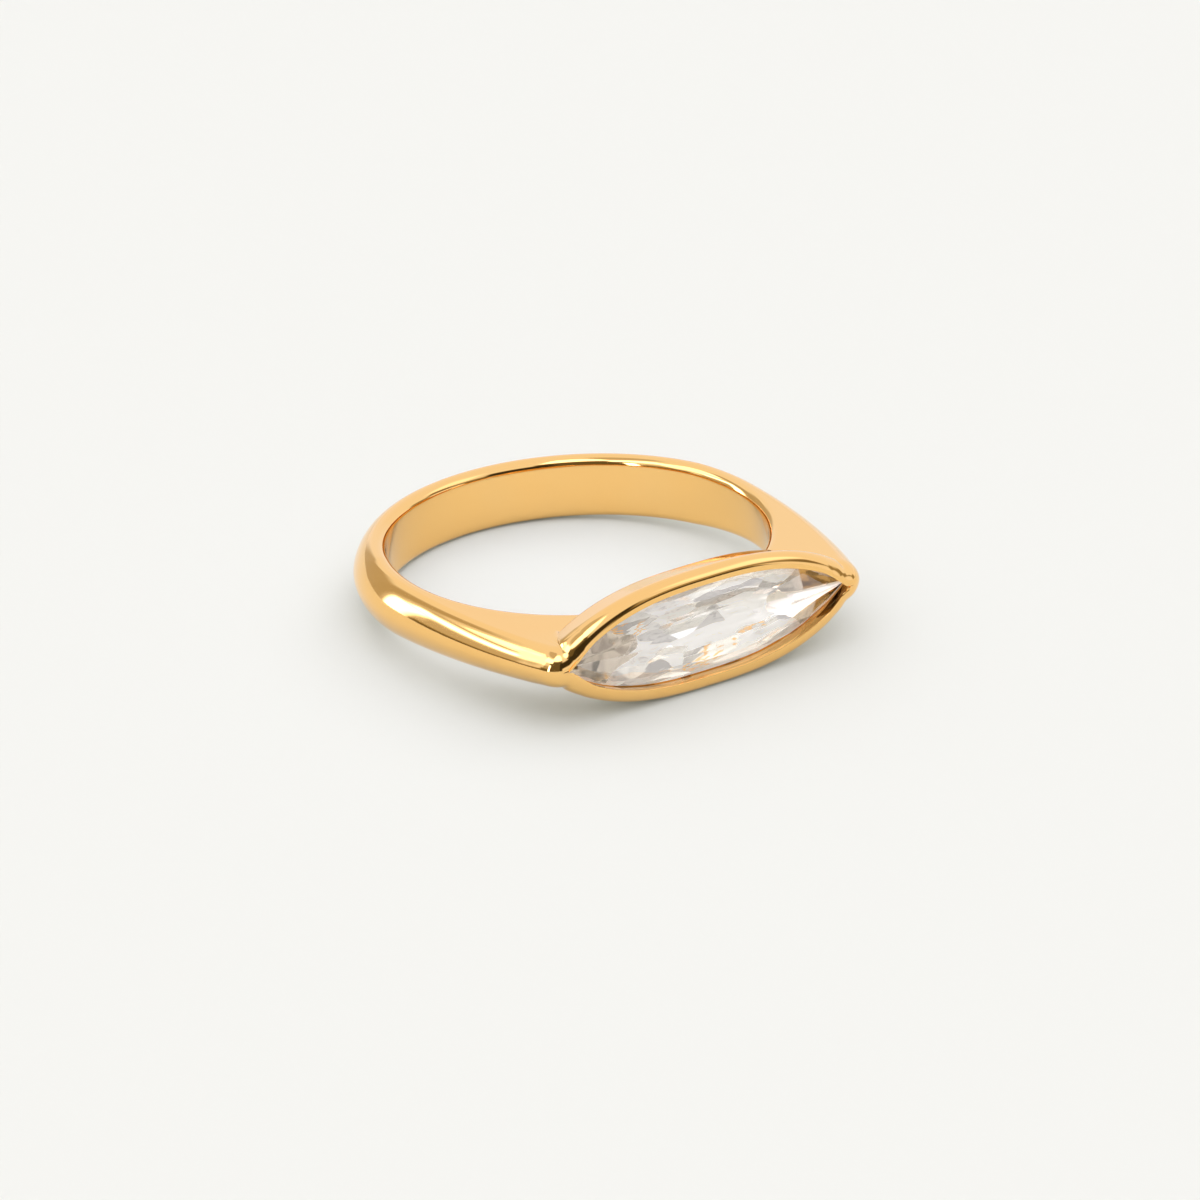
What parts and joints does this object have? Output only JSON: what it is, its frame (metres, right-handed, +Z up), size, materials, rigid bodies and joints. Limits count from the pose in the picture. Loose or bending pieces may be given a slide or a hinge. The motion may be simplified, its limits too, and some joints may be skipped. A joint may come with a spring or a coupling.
{
  "type": "navette ring",
  "caption": "Gold-coloured finger ring with a plain band, a long pointed bezel across the finger and a clear cut navette stone.",
  "frame": {"origin": "middle of the finger hole, on its axis, halfway along the band's width", "axes": "+Z up from the surface that the ring lies on, with the finger hole leaning back from it by 4 degrees; -Y from the hole towards the head; X along the long stone"},
  "size_m": [0.0202, 0.0209, 0.0056],
  "materials": {
    "gold_metal": "polished",
    "clear_stone": "polished"
  },
  "bodies": {
    "root": {"ring_metal": "gold_metal", "navette_stone": "clear_stone"}
  },
  "joints": []
}
